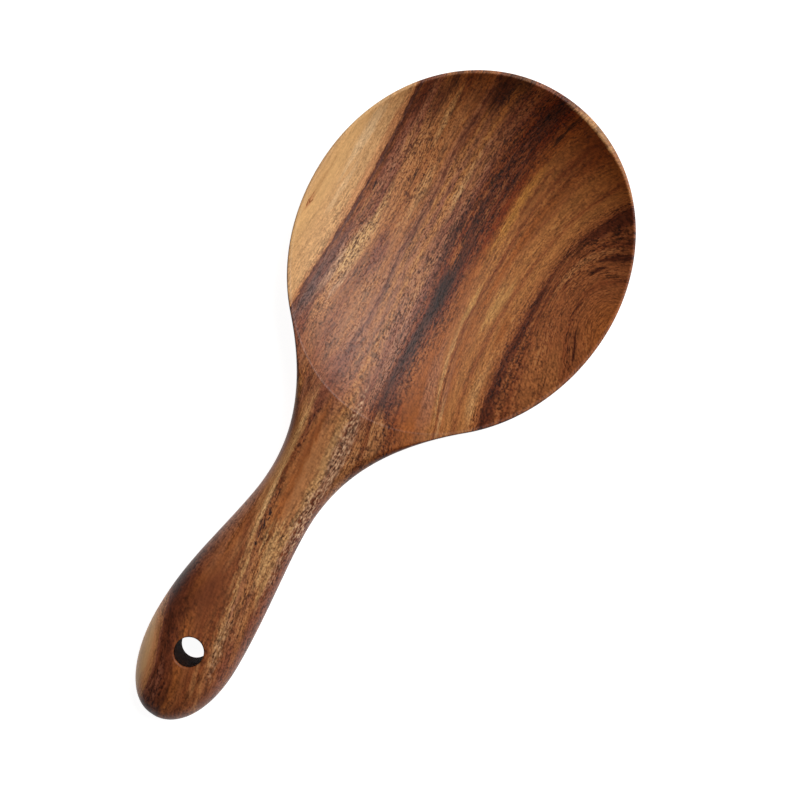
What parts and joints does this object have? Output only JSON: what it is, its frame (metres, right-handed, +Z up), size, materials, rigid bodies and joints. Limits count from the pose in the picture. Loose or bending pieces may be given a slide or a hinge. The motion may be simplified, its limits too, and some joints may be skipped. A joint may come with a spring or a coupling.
{
  "type": "rice paddle",
  "caption": "Wooden rice paddle with a broad, shallow oval dish and a swelling handle that has a hole to hang it by.",
  "frame": {"origin": "under the widest part of the head, on the flat of the belly that rests on the table", "axes": "+X towards the tip of the head, +Z up out of the dish"},
  "size_m": [0.1998, 0.0886, 0.017],
  "materials": {
    "acacia": "sanded acacia with a satin oil finish"
  },
  "bodies": {
    "root": {"rice_paddle": "acacia"}
  },
  "joints": []
}
